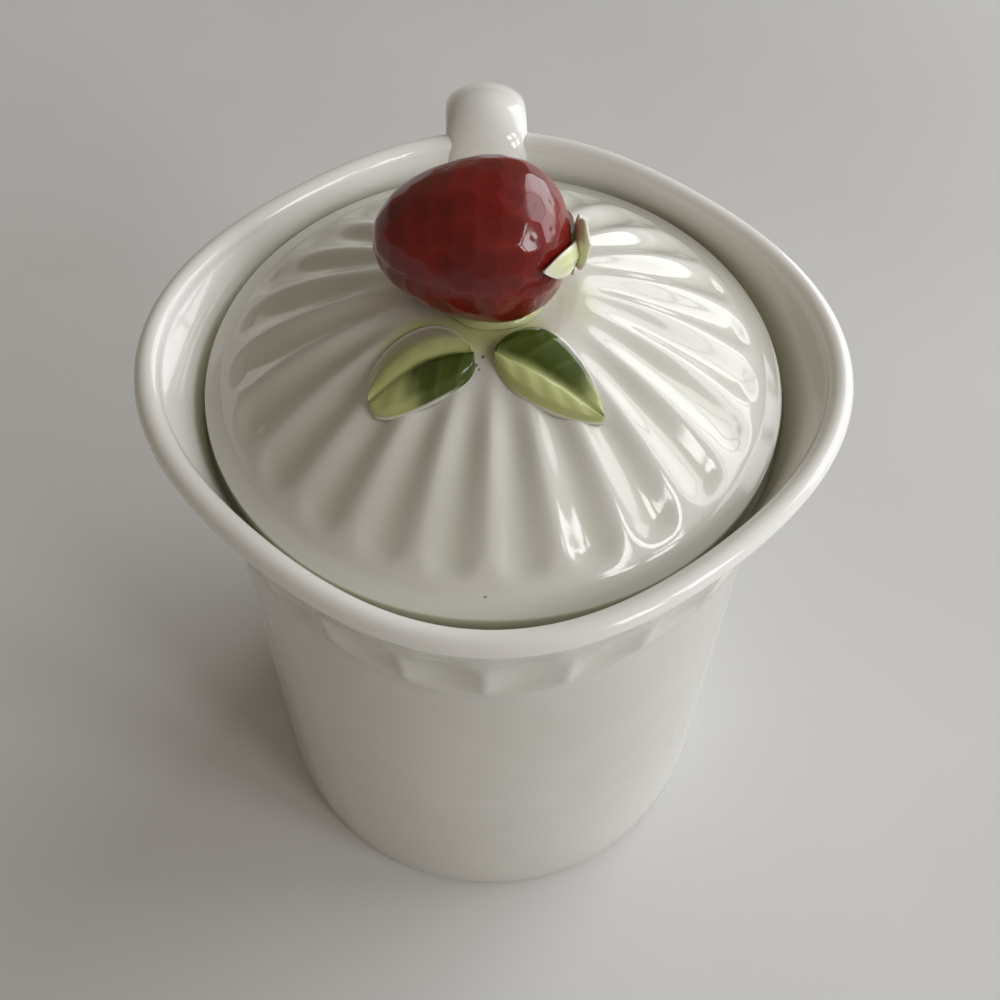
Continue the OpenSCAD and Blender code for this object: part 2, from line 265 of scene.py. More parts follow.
def geometry_tree(name, sizes):
    """A geometry node group with a geometry socket, a material and named sizes."""
    tree = bpy.data.node_groups.new(name, "GeometryNodeTree")
    tree.is_modifier = True
    face = tree.interface
    face.new_socket("Geometry", in_out="OUTPUT", socket_type="NodeSocketGeometry")
    face.new_socket("Geometry", in_out="INPUT", socket_type="NodeSocketGeometry")
    face.new_socket("Glaze", in_out="INPUT", socket_type="NodeSocketMaterial")
    for size, kind in sizes:
        face.new_socket(size, in_out="INPUT", socket_type=kind)
    return tree, tree.nodes.new("NodeGroupInput").outputs, tree.nodes.new("NodeGroupOutput")


def close_tree(tree, geometry, glaze, output):
    """Ends a geometry node group with real geometry in its glaze."""
    real = tree.nodes.new("GeometryNodeRealizeInstances")
    finish = tree.nodes.new("GeometryNodeSetMaterial")
    tree.links.new(geometry, real.inputs["Geometry"])
    tree.links.new(real.outputs["Geometry"], finish.inputs["Geometry"])
    tree.links.new(glaze, finish.inputs["Material"])
    tree.links.new(finish.outputs["Geometry"], output.inputs["Geometry"])


def stored(tree, geometry, name, value):
    """Keeps a number for each point, for the material."""
    store = tree.nodes.new("GeometryNodeStoreNamedAttribute")
    store.data_type = "FLOAT"
    store.domain = "POINT"
    store.inputs["Name"].default_value = name
    tree.links.new(geometry, store.inputs["Geometry"])
    tree.links.new(value, store.inputs["Value"])
    return store.outputs["Geometry"]


def run_tree(obj, tree, values):
    """Puts the tree on the object with these inputs and keeps the result as its mesh."""
    modifier = obj.modifiers.new(tree.name, "NODES")
    modifier.node_group = tree
    sockets = {s.name: s.identifier for s in tree.interface.items_tree if s.in_out == "INPUT"}
    for name, value in values.items():
        modifier[sockets[name]] = value
    graph = bpy.context.evaluated_depsgraph_get()
    graph.update()
    mesh = bpy.data.meshes.new_from_object(obj.evaluated_get(graph), depsgraph=graph)
    obj.modifiers.remove(modifier)
    obj.data = mesh


# Materials


def link_or_set(tree, item, socket):
    """Feeds a socket from another node's output, or gives it a plain value."""
    if isinstance(item, bpy.types.NodeSocket):
        tree.links.new(item, socket)
    else:
        socket.default_value = item


def new_material(name):
    """A material, its node tree and its main shader."""
    material = bpy.data.materials.new(name)
    material.use_nodes = True
    tree = material.node_tree
    return material, tree, tree.nodes["Principled BSDF"]


def noise_value(tree, scale, detail=2.0, distortion=0.0):
    """Noise on object coordinates, scale in waves for each metre."""
    place = tree.nodes.new("ShaderNodeTexCoord")
    node = tree.nodes.new("ShaderNodeTexNoise")
    node.inputs["Scale"].default_value = scale
    node.inputs["Detail"].default_value = detail
    node.inputs["Distortion"].default_value = distortion
    tree.links.new(place.outputs["Object"], node.inputs["Vector"])
    return node.outputs["Fac"]


def attribute(tree, name):
    """A number that the mesh keeps for each point."""
    node = tree.nodes.new("ShaderNodeAttribute")
    node.attribute_name = name
    return node.outputs["Fac"]


def mixed(tree, share, a, b):
    """The colour at a share of the way from a to b."""
    node = tree.nodes.new("ShaderNodeMix")
    node.data_type = "RGBA"
    link_or_set(tree, share, node.inputs[0])
    link_or_set(tree, a, node.inputs[6])
    link_or_set(tree, b, node.inputs[7])
    return node.outputs[2]


def tinted(tree, colour, name, strength, tint):
    """Mixes in a tint as far as an attribute of the mesh says."""
    share = math_node(tree, "MULTIPLY", attribute(tree, name), strength)
    return mixed(tree, share, colour, tint)


def coated(shader, weight, roughness):
    """Clear coat over a glaze."""
    shader.inputs["Coat Weight"].default_value = weight
    shader.inputs["Coat Roughness"].default_value = roughness


def bumped(tree, shader, height, strength, distance):
    """Slight unevenness of a glaze, from a height and its reach in metres."""
    node = tree.nodes.new("ShaderNodeBump")
    node.inputs["Strength"].default_value = strength
    node.inputs["Distance"].default_value = distance
    tree.links.new(height, node.inputs["Height"])
    tree.links.new(node.outputs["Normal"], shader.inputs["Normal"])


def glaze_roughness(tree, shader, low, high):
    """Gloss that drifts a little over the piece."""
    cloud = noise_value(tree, 90, 3)
    node = tree.nodes.new("ShaderNodeMapRange")
    node.inputs["From Min"].default_value = 0.3
    node.inputs["From Max"].default_value = 0.7
    node.inputs["To Min"].default_value = low
    node.inputs["To Max"].default_value = high
    tree.links.new(cloud, node.inputs["Value"])
    tree.links.new(node.outputs["Result"], shader.inputs["Roughness"])


WHITE = (0.74, 0.725, 0.675, 1)
WHITE_CLOUD = (0.775, 0.76, 0.715, 1)
# Whiter on the lip and the handle: thin glaze, and painted light on parts that face the light
THIN_AND_LIT_WHITE = (0.94, 0.93, 0.90, 1)
# Olive of glaze pooled in the flutes, also painted shade down the lip's inside, on the lid's edge
# in the gap and over the inside of the cup
POOLED_AND_SHADED = (0.64, 0.64, 0.50, 1)
SPECK = (0.16, 0.10, 0.055, 1)
WASH = (0.55, 0.58, 0.21, 1)
BERRY_DEEP = (0.15, 0.008, 0.007, 1)
BERRY_RED = (0.22, 0.012, 0.010, 1)
BERRY_PIT = (0.11, 0.005, 0.006, 1)
BERRY_CREST = (0.32, 0.024, 0.018, 1)
SEPAL_GREEN = (0.70, 0.74, 0.34, 1)
SEPAL_PALE = (0.82, 0.84, 0.56, 1)
SEPAL_EDGE = (0.88, 0.88, 0.78, 1)
LEAF_PALE = (0.50, 0.53, 0.22, 1)
LEAF_DARK = (0.058, 0.085, 0.010, 1)
LEAF_VEIN = (0.42, 0.50, 0.17, 1)
FLOOR_GREY = (0.72, 0.72, 0.715, 1)
FLOOR_PALE = (0.76, 0.76, 0.755, 1)
# Specks fired into the lid: place and radius
LID_SPECKS = (
    (-1.1, -10.9, 112.2, 0.30),
    (-1.9, -11.9, 111.9, 0.35),
    (-1.5, -12.4, 111.7, 0.22),
    (-0.1, -35.3, 98.8, 0.22),
    (-35.3, -9.5, 98.6, 0.25),
)


def spots(tree, colour, places):
    """Small brown specks of given radius at given places, all in millimetres."""
    here = tree.nodes.new("ShaderNodeTexCoord").outputs["Object"]
    for x, y, z, r in places:
        away = tree.nodes.new("ShaderNodeVectorMath")
        away.operation = "DISTANCE"
        tree.links.new(here, away.inputs[0])
        away.inputs[1].default_value = Vector((x, y, z)) * MM
        dot = smooth_range(tree, away.outputs["Value"], r * MM, r * 0.4 * MM)
        colour = mixed(tree, math_node(tree, "MULTIPLY", dot, 0.8), colour, SPECK)
    return colour


def white_glaze(name, wash=False, places=()):
    """Cream glaze, greener where it pools and where shade is painted in the gaps and
    the hollow, whiter where it is thin and where light is painted on the lip and handle,
    with faint clouds, pinholes and specks."""
    material, tree, shader = new_material(name)
    cloud = smooth_range(tree, noise_value(tree, 38, 3, 0.4), 0.35, 0.7)
    colour = mixed(tree, cloud, WHITE, WHITE_CLOUD)
    # Whiter on the lip and handle: thin glaze and painted light together
    colour = mixed(tree, attribute(tree, "thin_and_lit"), colour, THIN_AND_LIT_WHITE)
    # Greener in pooled glaze and in painted shade
    colour = mixed(tree, attribute(tree, "pool_and_shade"), colour, POOLED_AND_SHADED)
    if wash:
        colour = mixed(tree, attribute(tree, "wash"), colour, WASH)
    cells = tree.nodes.new("ShaderNodeTexVoronoi")
    cells.inputs["Scale"].default_value = 70
    place = tree.nodes.new("ShaderNodeTexCoord")
    tree.links.new(place.outputs["Object"], cells.inputs["Vector"])
    dots = smooth_range(tree, cells.outputs["Distance"], 0.028, 0.014)
    colour = mixed(tree, math_node(tree, "MULTIPLY", dots, 0.55), colour, SPECK)
    colour = spots(tree, colour, places)
    tree.links.new(colour, shader.inputs["Base Color"])
    glaze_roughness(tree, shader, 0.07, 0.13)
    coated(shader, 0.25, 0.04)
    bumped(tree, shader, noise_value(tree, 190, 2), 0.09, 0.0004)
    return material


def berry_glaze():
    """Deep red glaze, darker in the seed dents and brighter on the crests."""
    material, tree, shader = new_material("berry_red_glaze")
    cloud = smooth_range(tree, noise_value(tree, 170, 2, 0.5), 0.35, 0.68)
    colour = mixed(tree, cloud, BERRY_DEEP, BERRY_RED)
    colour = tinted(tree, colour, "pit", 0.4, BERRY_PIT)
    colour = tinted(tree, colour, "crest", 0.25, BERRY_CREST)
    tree.links.new(colour, shader.inputs["Base Color"])
    glaze_roughness(tree, shader, 0.10, 0.18)
    shader.inputs["Specular IOR Level"].default_value = 0.35
    coated(shader, 0.3, 0.05)
    bumped(tree, shader, noise_value(tree, 420, 3), 0.08, 0.0004)
    return material


def sepal_glaze():
    """Pale yellow green, nearly white on the edges."""
    material, tree, shader = new_material("sepal_pale_glaze")
    cloud = smooth_range(tree, noise_value(tree, 260, 2), 0.35, 0.65)
    colour = mixed(tree, cloud, SEPAL_GREEN, SEPAL_PALE)
    colour = mixed(tree, attribute(tree, "edge"), colour, SEPAL_EDGE)
    tree.links.new(colour, shader.inputs["Base Color"])
    glaze_roughness(tree, shader, 0.12, 0.2)
    coated(shader, 0.5, 0.06)
    bumped(tree, shader, noise_value(tree, 500, 2), 0.12, 0.0003)
    return material


def leaf_glaze():
    """Sprayed green: dark on one half of the blade, pale on the other, worn to white
    on the raised edge."""
    material, tree, shader = new_material("leaf_green_glaze")
    cloud = noise_value(tree, 300, 3, 0.6)
    cloud = math_node(tree, "MULTIPLY_ADD", cloud, 0.5, -0.25)
    shade = math_node(tree, "ADD", attribute(tree, "dark"), cloud)
    colour = mixed(tree, smooth_range(tree, shade, 0.05, 0.95), LEAF_PALE, LEAF_DARK)
    colour = mixed(tree, attribute(tree, "vein"), colour, LEAF_VEIN)
    colour = mixed(tree, attribute(tree, "bare"), colour, WHITE)
    tree.links.new(colour, shader.inputs["Base Color"])
    glaze_roughness(tree, shader, 0.10, 0.2)
    shader.inputs["Specular IOR Level"].default_value = 0.35
    coated(shader, 0.3, 0.06)
    bumped(tree, shader, noise_value(tree, 450, 2), 0.1, 0.0003)
    return material


def floor_paint():
    """Pale grey, a little cloudy."""
    material, tree, shader = new_material("floor_paint")
    cloud = smooth_range(tree, noise_value(tree, 9, 3), 0.3, 0.7)
    colour = mixed(tree, cloud, FLOOR_GREY, FLOOR_PALE)
    tree.links.new(colour, shader.inputs["Base Color"])
    shader.inputs["Roughness"].default_value = 0.55
    return material


pot_white = white_glaze("pot_white_glaze")
lid_white = white_glaze("lid_white_glaze", wash=True, places=LID_SPECKS)
handle_white = white_glaze("handle_white_glaze")
berry_red = berry_glaze()
sepal_pale = sepal_glaze()
leaf_green = leaf_glaze()


# Cup with its fluted collar and lobed lip


def wall_r(z):
    """Radius of the cup's outside at a height."""
    return FOOT_R - TAPER * z / SEAT_H


def lip_out(angle):
    """Reach of the lip's outside at an angle round the pot."""
    return LIP_R + SIDE_SWELL * math.cos(2 * angle) + LOBE_SWELL * math.cos(4 * angle)


def pot_section(angle):
    """Section of the cup, from under its foot over the collar and lip and down the
    inside."""
    out = lip_out(angle)
    low = COLLAR_H - SWAG * math.cos(4 * angle)
    rows = [(0, 0)]
    rows += line((0, 0), (FOOT_R - FOOT_ROUND, 0), 5)
    rows += arc(FOOT_R - FOOT_ROUND, FOOT_ROUND, FOOT_ROUND, FOOT_ROUND, -90, 0, 8)[1:]
    foot = low - COLLAR_EDGE
    rows += line((FOOT_R, FOOT_ROUND), (wall_r(foot), foot), 20)
    steps = 6
    for i in range(1, steps + 1):
        z = foot + COLLAR_EDGE * i / steps
        rows.append((wall_r(z) + COLLAR_STEP * ease(i, 0, steps), z))
    result = [(r, z, 0.0) for r, z in rows]
    start = wall_r(low) + COLLAR_STEP
    steps = 36
    hollow = scallop(angle) ** 0.7
    for i in range(1, steps + 1):
        t = i / steps
        head = 0.62 - 0.16 * (1 - hollow)
        depth = COLLAR_FLUTE * hollow * ease(t, 0, 0.13) * (1 - ease(t, head - 0.12, head + 0.3))
        rib = COLLAR_RIB * (1 - hollow) ** 6 * ease(t, 0, 0.1) * (1 - ease(t, 0.3, 0.6))
        r = start + (out - start) * t ** 1.7 - depth + rib
        result.append((r, low + (LIP_MID - low) * t, 0.15 * depth / COLLAR_FLUTE))
    round_r = LIP_T / 2
    rows = arc(out - round_r, LIP_MID, round_r, round_r, 0, 180, 16)[1:]
    wide = out - LIP_T - SEAT_R
    deep = LIP_MID - SEAT_H
    steps = 22
    for i in range(1, steps + 1):
        t = i / steps
        r = SEAT_R + wide * (1 - t) ** 1.6 - LEDGE_POOL * ease(t, 0.6, 1)
        rows.append((r, LIP_MID - deep * t))
    # Painted shade, deepening down the inside of the lip towards the lid's gap
    result += [(r, z, 0.55 * ease(LIP_MID - z, SHADE_BELOW, deep)) for r, z in rows]
    soft = LEDGE_ROUND
    rows = line((SEAT_R - LEDGE_POOL, SEAT_H), (MOUTH_R + soft, SEAT_H), 4)
    rows += arc(MOUTH_R + soft, SEAT_H - soft, soft, soft, 90, 180, 4)[1:]
    rows += line((MOUTH_R, SEAT_H - soft), (MOUTH_R, FLOOR_T + FLOOR_ROUND), 8)
    rows += arc(MOUTH_R - FLOOR_ROUND, FLOOR_T + FLOOR_ROUND,
                FLOOR_ROUND, FLOOR_ROUND, 0, -90, 8)[1:]
    rows += line((MOUTH_R - FLOOR_ROUND, FLOOR_T), (0, FLOOR_T), 5)
    # Painted shade over the ledge and the whole inside of the cup
    return result + [(r, z, 0.5) for r, z in rows]


def make_pot():
    """The cup with its collar, lip, ledge and hollow, as one skin."""
    pot = turned_skin("glazed_cup", pot_section, FLUTES * 16)
    # Whitened towards the lip's top: thin glaze and painted light
    low = LIP_MID - THIN_LIT_BELOW
    high = LIP_MID + THIN_LIT_ABOVE
    point_values(pot, "thin_and_lit", [ease(vertex.co.z, low, high) for vertex in pot.data.vertices])
    pot.data.materials.append(pot_white)
    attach(pot, "pot")
    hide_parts("pot_body")


# Strap handle


def keep_clear(point, radius):
    """A point that lies inside a radius about the axis is put back on it."""
    r = math.hypot(point.x, point.y)
    if r >= radius:
        return point
    return Vector((point.x * radius / r, point.y * radius / r, point.z))


def bezier(p, t):
    """Point on the curve of four control points."""
    s = 1 - t
    return p[0] * s ** 3 + p[1] * 3 * t * s * s + p[2] * 3 * t * t * s + p[3] * t ** 3


STRAP_W = 12.2 * MM
STRAP_T = 6.4 * MM
STRAP_OUT = NECK_R + 26 * MM
STRAP_CORNER = 1.05
HANDLE_CROWN = 2.6 * MM
HANDLE_ROOT = 3 * MM
HANDLE_FOOT = 43 * MM
HANDLE_TURN = math.radians(3)
ROOT_SUNK = 0.2 * MM
LID_GAP = 0.1 * MM
FOOT_BOW = 13 * MM
FOOT_SUNK = 4 * MM
FOOT_DROP = 1.5 * MM
FOOT_FILLET = 0.8 * MM
FOOT_REACH = 3.2 * MM
FOOT_DEPTH = 1.5 * MM
STRAP_BELLY = (LIP_H + HANDLE_FOOT) / 2 + STRAP_T


def strap_curves():
    """The strap's middle line as [distance from the axis, height], from its root inside
    the lip over the crown to its belly, and on to its foot on the wall."""
    upper = [
        Vector((SEAT_R + ROOT_SUNK, SEAT_H + HANDLE_ROOT)),
        Vector((LIP_R, LIP_H + STRAP_T + HANDLE_CROWN)),
        Vector((STRAP_OUT, LIP_H - STRAP_T * 1.25)),
        Vector((STRAP_OUT, STRAP_BELLY)),
    ]
    lower = [
        Vector((STRAP_OUT, STRAP_BELLY)),
        Vector((STRAP_OUT, STRAP_BELLY - STRAP_T * 3.5)),
        Vector((NECK_R + FOOT_BOW, HANDLE_FOOT + STRAP_T)),
        Vector((wall_r(HANDLE_FOOT) - FOOT_SUNK, HANDLE_FOOT - FOOT_DROP)),
    ]
    return upper, lower


def luted(point, middle):
    """A point of the strap, spread away from its middle close to the wall, as where
    the foot is smoothed on, and kept inside the thickness of the wall."""
    away = math.hypot(point.x, point.y) - wall_r(point.z)
    spread = FOOT_FILLET * max(1 - max(away, 0) / FOOT_REACH, 0) ** 2
    point = point + (point - middle).normalized() * spread
    return keep_clear(point, wall_r(point.z) - FOOT_DEPTH)


def cornered(value):
    """A sine or cosine that makes the strap's oval a little fuller or leaner."""
    return math.copysign(abs(value) ** STRAP_CORNER, value)


def make_handle():
    """Strap swept along its middle line, turned a little about the pot's axis."""
    steps = 60
    sides = 48
    upper, lower = strap_curves()
    path = [bezier(upper, i / steps) for i in range(steps)]
    path += [bezier(lower, i / steps) for i in range(steps + 1)]
    last = len(path) - 1
    points = []
    turned = Matrix.Rotation(HANDLE_TURN, 3, "Z")
    for i, here in enumerate(path):
        way = (path[min(i + 1, last)] - path[max(i - 1, 0)]).normalized()
        u = i / last
        foot = ease(u, 0.86, 1)
        thick = STRAP_T / 2 * (between(0.45, 1, ease(u, 0, 0.12)) + 0.35 * foot)
        wide = STRAP_W / 2 * (1 + 0.08 * foot)
        for j in range(sides):
            b = TURN * (j + 0.5) / sides
            x = wide * cornered(math.cos(b))
            y = thick * cornered(math.sin(b))
            point = Vector((x, here.x - y * way.y, here.y + y * way.x))
            if u > 0.5:
                point = luted(point, Vector((0, here.x, here.y)))
            points.append(turned @ point)
    points = [keep_clear(p, SEAT_R - LID_GAP) for p in points]
    faces = ring_faces(last, sides)
    faces.append(tuple(range(sides)))
    faces.append(tuple(last * sides + j for j in range(sides)))
    handle = mesh_object("strap_handle", points, faces)
    # The whole strap whitened: thin glaze and painted light on its lit face
    point_values(handle, "thin_and_lit", [0.9] * len(points))
    handle.data.materials.append(handle_white)
    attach(handle, "pot")
    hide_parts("handle")


# Lid


def dome_z(r):
    """Height of the dome without its flutes."""
    return CREASE_Z + DOME_H * (1 - (min(r / CREASE_R, 1)) ** 2)


def land_z(r):
    """Height of the plain top of the lid, flat under the knob."""
    return dome_z(max(r, LAND_R))


def under_z(r):
    """Height of the inside of the dome."""
    return land_z(r) - LID_WALL * (1 + 0.35 * (r / CREASE_R) ** 2)


def lid_section(angle):
    """Section of the plain lid, from the crown over the edge and up the inside. It is
    the same at every angle."""
    rows = [(0, land_z(0))] + line((0, land_z(0)), (LAND_R, land_z(0)), 6)
    rows += [(r, dome_z(r)) for r, z in line((LAND_R, 0), (CREASE_R, 0), 54)]
    top = EDGE_Z + EDGE_T
    edge = EDGE_ROUND
    rows += line((CREASE_R, CREASE_Z), (LID_R - edge, top), 8)
    rows += arc(LID_R - edge, top - edge, edge, edge, 90, 0, 6)[1:]
    rows += line((LID_R, top - edge), (LID_R, EDGE_Z + edge), 5)
    rows += arc(LID_R - edge, EDGE_Z + edge, edge, edge, 0, -90, 4)[1:]
    rows += line((LID_R - edge, EDGE_Z), (FLANGE_R, EDGE_Z), 2)
    low = SEAT_H - FLANGE_H
    inner = FLANGE_R - FLANGE_T
    soft = FLANGE_ROUND
    rows += line((FLANGE_R, EDGE_Z), (FLANGE_R, low + soft), 4)
    rows += arc(FLANGE_R - soft, low + soft, soft, soft, 0, -90, 4)[1:]
    rows += line((FLANGE_R - soft, low), (inner + soft, low), 2)
    rows += arc(inner + soft, low + soft, soft, soft, -90, -180, 4)[1:]
    rows += line((inner, low + soft), (inner, under_z(inner)), 5)
    steps = 16
    for i in range(1, steps + 1):
        r = inner * (1 - i / steps)
        rows.append((r, under_z(r)))
    return [(r, z, 0.0) for r, z in rows]


def flute_tree():
    """Presses a ring of spoon ended flutes into the top of a dome."""
    tree, sizes, output = geometry_tree("dome_flutes", (
        ("Flutes", "NodeSocketInt"),
        ("Depth", "NodeSocketFloat"),
        ("Inner radius", "NodeSocketFloat"),
        ("Full depth radius", "NodeSocketFloat"),
        ("Outer radius", "NodeSocketFloat"),
        ("Spoon length", "NodeSocketFloat"),
        ("Web", "NodeSocketFloat"),
        ("Crest power", "NodeSocketFloat"),
        ("Lowest height", "NodeSocketFloat"),
    ))
    position = tree.nodes.new("GeometryNodeInputPosition")
    parts = tree.nodes.new("ShaderNodeSeparateXYZ")
    tree.links.new(position.outputs[0], parts.inputs[0])
    x, y, z = parts.outputs

    def times(a, b):
        return math_node(tree, "MULTIPLY", a, b)

    radius = math_node(tree, "SQRT", math_node(tree, "ADD", times(x, x), times(y, y)))
    angle = math_node(tree, "DIVIDE", math_node(tree, "ARCTAN2", y, x), TURN)
    share = math_node(tree, "FRACT", times(angle, sizes["Flutes"]))
    turn = math_node(tree, "COSINE", times(share, TURN))
    rise = math_node(tree, "MULTIPLY_ADD", turn, -0.5, 0.5)
    curve = math_node(tree, "POWER", rise, sizes["Crest power"])
    lead = smooth_range(tree, radius, sizes["Inner radius"], sizes["Full depth radius"])
    crest = math_node(tree, "SUBTRACT", 1, rise)
    web = times(math_node(tree, "POWER", crest, 3), sizes["Web"])
    end = math_node(tree, "SUBTRACT", sizes["Outer radius"], web)
    begin = math_node(tree, "SUBTRACT", end, sizes["Spoon length"])
    spoon = math_node(tree, "SUBTRACT", 1, smooth_range(tree, radius, begin, end))
    above = math_node(tree, "GREATER_THAN", z, sizes["Lowest height"])
    form = times(times(lead, spoon), times(curve, above))
    drop = tree.nodes.new("ShaderNodeCombineXYZ")
    tree.links.new(times(times(form, sizes["Depth"]), -1), drop.inputs["Z"])
    move = tree.nodes.new("GeometryNodeSetPosition")
    tree.links.new(drop.outputs[0], move.inputs["Offset"])
    kept = stored(tree, sizes["Geometry"], "pool_and_shade", times(form, 0.3))
    tree.links.new(kept, move.inputs["Geometry"])
    close_tree(tree, move.outputs["Geometry"], sizes["Glaze"], output)
    return tree


# Middle, reach along X and Y, and strength of each patch of wash on the crown
WASHES = (
    (-7.6 * MM, -8.8 * MM, 7.4 * MM, 5.0 * MM, 1.0),
    (4.0 * MM, -8.4 * MM, 5.4 * MM, 4.2 * MM, 0.9),
    (-1.0 * MM, -7.0 * MM, 9.5 * MM, 5.4 * MM, 0.85),
    (10.0 * MM, -2.0 * MM, 4.0 * MM, 5.0 * MM, 0.25),
)


def wash_share(x, y):
    """Yellow green wash that bled from the leaves and sepals over the crown."""
    share = 0
    for cx, cy, rx, ry, full in WASHES:
        away = math.hypot((x - cx) / rx, (y - cy) / ry)
        share = max(share, full * (1 - ease(away, 0.35, 1)))
    return share


def make_lid():
    """Domed lid with its border and flange, with the flutes pressed in."""
    lid = turned_skin("fluted_lid", lid_section, FLUTES * 16)
    lid.data.attributes.remove(lid.data.attributes["pool_and_shade"])
    run_tree(lid, flute_tree(), {
        "Glaze": lid_white,
        "Flutes": FLUTES,
        "Depth": LID_FLUTE,
        "Inner radius": LAND_R + FLUTE_START,
        "Full depth radius": between(LAND_R, CREASE_R, 0.45),
        "Outer radius": CREASE_R - FLUTE_END,
        "Spoon length": SPOON_L,
        "Web": SPOON_WEB,
        "Crest power": 0.85,
        "Lowest height": CREASE_Z - FLUTE_LOW,
    })
    values = []
    pool_and_shade = lid.data.attributes["pool_and_shade"].data
    for vertex in lid.data.vertices:
        x, y, z = vertex.co
        r = math.hypot(x, y)
        values.append(wash_share(x, y) if z > land_z(r) - LID_WALL / 2 else 0)
        # A little pooled glaze on the border; painted shade on the lid's outer side, down in the
        # gap
        border = ease(r, CREASE_R - BORDER_IN, CREASE_R + BORDER_OUT)
        rim = ease(r, LID_R - RIM_W, LID_R)
        pool_and_shade[vertex.index].value += 0.15 * border + 0.85 * rim
    point_values(lid, "wash", values)
    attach(lid, "lid")
    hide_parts("lid")


# Strawberry and the pad it is bedded on


def berry_x(u):
    """Place along the berry, u from 0 at the tip to 1 at the calyx."""
    return BERRY_L * (u - 0.5) - BERRY_SHIFT


def berry_r(u):
    """Radius of the berry, widest at its belly."""
    w = max(u, 0) ** (math.log(0.5) / math.log(BELLY))
    power = TIP_POWER if u < BELLY else SHOULDER_POWER
    return BERRY_D / 2 * max(math.sin(math.pi * w), 0) ** power


def berry_point(u, angle):
    """A point on the skin of the berry, angle from +Y towards +Z."""
    r = berry_r(u)
    return Vector((berry_x(u), r * math.cos(angle), BERRY_Z + r * math.sin(angle)))


PIT_GAP = 3.1 * MM
PIT_R = 1.7 * MM
PIT_DEPTH = 0.10 * MM
SEED_R = 0.6 * MM
SEED_DEPTH = 0.02 * MM
BED_ROUND = 0.6 * MM


def pit_centres():
    """Middles of the dimples, in staggered rings a pit apart, each a little off."""
    draw = random.Random(4)
    centres = []
    length = 0
    before = berry_point(0, 0)
    ring = 0
    samples = 800
    for i in range(1, samples):
        u = i / samples
        here = berry_point(u, 0)
        length += (here - before).length
        before = here
        if length < PIT_GAP * 0.87 * (ring + 0.7):
            continue
        count = max(round(TURN * berry_r(u) / PIT_GAP), 3)
        if berry_r(u) > BERRY_D * 0.2:
            for k in range(count):
                angle = TURN * (k + 0.5 * (ring % 2) + 0.3 + draw.uniform(-0.16, 0.16)) / count
                centres.append(berry_point(min(u + draw.uniform(-0.016, 0.016), 0.98), angle))
        ring += 1
    return centres


def dimple_tree():
    """Presses a round pit into the skin round every point of another mesh, with a
    smaller seed dent in its middle."""
    tree, sizes, output = geometry_tree("berry_dimples", (
        ("Pits", "NodeSocketObject"),
        ("Pit radius", "NodeSocketFloat"),
        ("Pit depth", "NodeSocketFloat"),
        ("Seed radius", "NodeSocketFloat"),
        ("Seed depth", "NodeSocketFloat"),
    ))
    info = tree.nodes.new("GeometryNodeObjectInfo")
    tree.links.new(sizes["Pits"], info.inputs["Object"])
    near = tree.nodes.new("GeometryNodeProximity")
    near.target_element = "POINTS"
    tree.links.new(info.outputs["Geometry"], near.inputs[0])
    away = near.outputs["Distance"]
    share = math_node(tree, "MINIMUM", math_node(tree, "DIVIDE", away, sizes["Pit radius"]), 1)
    pit = math_node(tree, "SUBTRACT", 1, math_node(tree, "POWER", share, 2))
    seed = math_node(tree, "SUBTRACT", 1, smooth_range(tree, away, 0, sizes["Seed radius"]))
    depth = math_node(tree, "ADD", math_node(tree, "MULTIPLY", pit, sizes["Pit depth"]),
                      math_node(tree, "MULTIPLY", seed, sizes["Seed depth"]))
    normal = tree.nodes.new("GeometryNodeInputNormal")
    scale = tree.nodes.new("ShaderNodeVectorMath")
    scale.operation = "SCALE"
    tree.links.new(normal.outputs["Normal"], scale.inputs[0])
    tree.links.new(math_node(tree, "MULTIPLY", depth, -1), scale.inputs["Scale"])
    geometry = sizes["Geometry"]
    crest = math_node(tree, "SUBTRACT", 1, smooth_range(tree, pit, 0, 0.3))
    for name, value in (("pit", seed), ("crest", crest)):
        geometry = stored(tree, geometry, name, value)
    move = tree.nodes.new("GeometryNodeSetPosition")
    tree.links.new(geometry, move.inputs["Geometry"])
    tree.links.new(scale.outputs[0], move.inputs["Offset"])
    close_tree(tree, move.outputs["Geometry"], sizes["Glaze"], output)
    return tree


def bedded(z):
    """A height on the berry once its underside is pressed flat on the pad, with the
    edge of the flat rounded."""
    above = (z - BED_Z) / BED_ROUND
    return BED_Z + BED_ROUND * (max(above, 0) + math.log(1 + math.exp(-abs(above))))


def make_berry():
    """Dimpled berry lying on its side, pressed on to the pad."""
    rows = 170
    columns = 320
    points = []
    for j in range(1, rows):
        u = (1 - math.cos(math.pi * j / rows)) / 2
        points += [berry_point(u, TURN * i / columns) for i in range(columns)]
    faces = ring_faces(rows - 2, columns)
    for x, first in ((berry_x(0), 0), (berry_x(1), (rows - 2) * columns)):
        centre = len(points)
        points.append((x, 0, BERRY_Z))
        for i in range(columns):
            faces.append((centre, first + i, first + (i + 1) % columns))
    berry = mesh_object("strawberry_knob", points, faces)
    pits = mesh_object("pit_middles", [tuple(p) for p in pit_centres()], [])
    run_tree(berry, dimple_tree(), {
        "Glaze": berry_red,
        "Pits": pits,
        "Pit radius": PIT_R,
        "Pit depth": PIT_DEPTH,
        "Seed radius": SEED_R,
        "Seed depth": SEED_DEPTH,
    })
    bpy.data.objects.remove(pits)
    for vertex in berry.data.vertices:
        vertex.co.z = bedded(vertex.co.z)
    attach(berry, "lid")
    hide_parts("strawberry")


PAD_WAIST = 0.75 * MM
PAD_SUNK = 0.3 * MM
PAD_SWELL = 0.25 * MM
PAD_RIPPLE = 0.15 * MM


